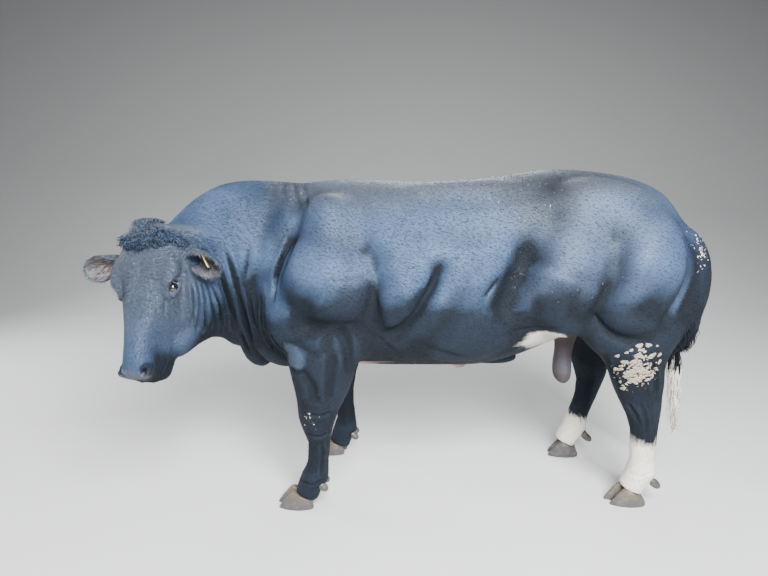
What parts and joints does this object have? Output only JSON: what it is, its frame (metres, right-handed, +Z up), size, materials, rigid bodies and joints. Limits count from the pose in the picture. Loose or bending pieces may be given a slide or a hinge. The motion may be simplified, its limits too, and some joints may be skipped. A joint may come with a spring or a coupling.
{
  "type": "belgian blue bull museum model",
  "caption": "Life-size still model of a heavily muscled polled beef bull, standing on all fours with its head lowered and turned to its left.",
  "frame": {"origin": "on the floor, at the middle of the model's footprint box", "axes": "the bull faces -X, its left side is -Y, +Z is up"},
  "size_m": [2.563, 1.0392, 1.4331],
  "materials": {
    "slate_coat": "short blue-black hair with a slate sheen",
    "horn": "worn horn",
    "eye": "wet, dark",
    "white_hair": "long cream-white hair",
    "ear_skin": "thin haired skin",
    "groin_skin": "bare lilac-grey skin",
    "tag_plastic": "blank moulded tag"
  },
  "bodies": {
    "root": {"torso": "slate_coat", "neck": "slate_coat", "head": "slate_coat", "poll_tuft": "slate_coat", "ear_left": "ear_skin", "ear_right": "ear_skin", "ear_tag": "tag_plastic", "eye_left": "eye", "eye_right": "eye", "forearm_left": "slate_coat", "forearm_right": "slate_coat", "fore_shank_left": "slate_coat", "fore_shank_right": "slate_coat", "gaskin_left": "slate_coat", "gaskin_right": "slate_coat", "hind_shank_left": "slate_coat", "hind_shank_right": "slate_coat", "claw_fore_left_outer": "horn", "claw_fore_left_inner": "horn", "claw_fore_right_outer": "horn", "claw_fore_right_inner": "horn", "claw_hind_left_outer": "horn", "claw_hind_left_inner": "horn", "claw_hind_right_outer": "horn", "claw_hind_right_inner": "horn", "dewclaw_fore_left_outer": "horn", "dewclaw_fore_left_inner": "horn", "dewclaw_fore_right_outer": "horn", "dewclaw_fore_right_inner": "horn", "dewclaw_hind_left_outer": "horn", "dewclaw_hind_left_inner": "horn", "dewclaw_hind_right_outer": "horn", "dewclaw_hind_right_inner": "horn", "tail": "slate_coat", "tail_switch": "white_hair", "scrotum": "groin_skin"}
  },
  "joints": []
}
